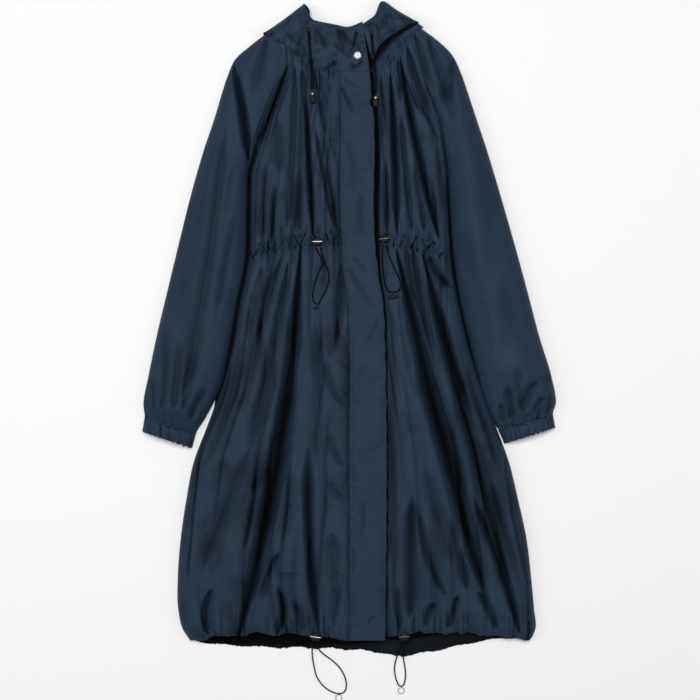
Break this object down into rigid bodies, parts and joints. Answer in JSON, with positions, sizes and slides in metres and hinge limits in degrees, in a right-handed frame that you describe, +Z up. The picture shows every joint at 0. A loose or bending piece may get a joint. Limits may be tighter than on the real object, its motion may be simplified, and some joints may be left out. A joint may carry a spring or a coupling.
{
  "type": "hooded raincoat laid flat",
  "caption": "Long navy hooded raincoat laid flat, with raglan sleeves, elastic cuffs, a storm flap and drawcords at hood, waist and hem.",
  "frame": {"origin": "on the ground beneath the middle of the garment's outline, measured without the cords and what is on them", "axes": "+Y towards the hood, +X towards the wearer's left sleeve, +Z up out of the garment's front"},
  "size_m": [0.722, 1.2229, 0.0408],
  "materials": {
    "cloth": "dark navy water-repellent taffeta, soft sheen",
    "cloth_inside": "inner face of the navy taffeta, matt coating",
    "black_plastic": "moulded black plastic",
    "elastic_cord": "black braided elastic",
    "nickel": "polished nickel, slightly worn"
  },
  "bodies": {
    "root": {"back": "cloth_inside", "back_hem_casing": "cloth_inside", "collar_tab": "cloth", "cuff_left": "cloth", "cuff_right": "cloth", "eyelet_left": "black_plastic", "eyelet_right": "black_plastic", "front_left_hem_casing": "cloth", "front_left_skirt": "cloth", "front_left_upper": "cloth", "front_left_waist_casing": "cloth", "front_right_hem_casing": "cloth", "front_right_skirt": "cloth", "front_right_upper": "cloth", "front_right_waist_casing": "cloth", "hem_cord_left": "elastic_cord", "hem_cord_right": "elastic_cord", "hem_lock_bar_left": "nickel", "hem_lock_bar_right": "nickel", "hem_lock_left": "black_plastic", "hem_lock_right": "black_plastic", "hem_ring_left": "nickel", "hem_ring_right": "nickel", "hood_back_folded": "cloth", "hood_cord_left_inner": "elastic_cord", "hood_cord_left_outer": "elastic_cord", "hood_cord_right_inner": "elastic_cord", "hood_cord_right_outer": "elastic_cord", "hood_left": "cloth", "hood_lock_ball_left": "nickel", "hood_lock_ball_right": "nickel", "hood_lock_left": "black_plastic", "hood_lock_right": "black_plastic", "hood_right": "cloth", "sleeve_left": "cloth", "sleeve_right": "cloth", "snap_cap": "nickel", "storm_flap": "cloth", "waist_cord_left": "elastic_cord", "waist_cord_right": "elastic_cord", "waist_knot_left": "elastic_cord", "waist_knot_right": "elastic_cord", "waist_lock_bar_left": "nickel", "waist_lock_bar_right": "nickel", "waist_lock_left": "black_plastic", "waist_lock_right": "black_plastic"}
  },
  "joints": []
}
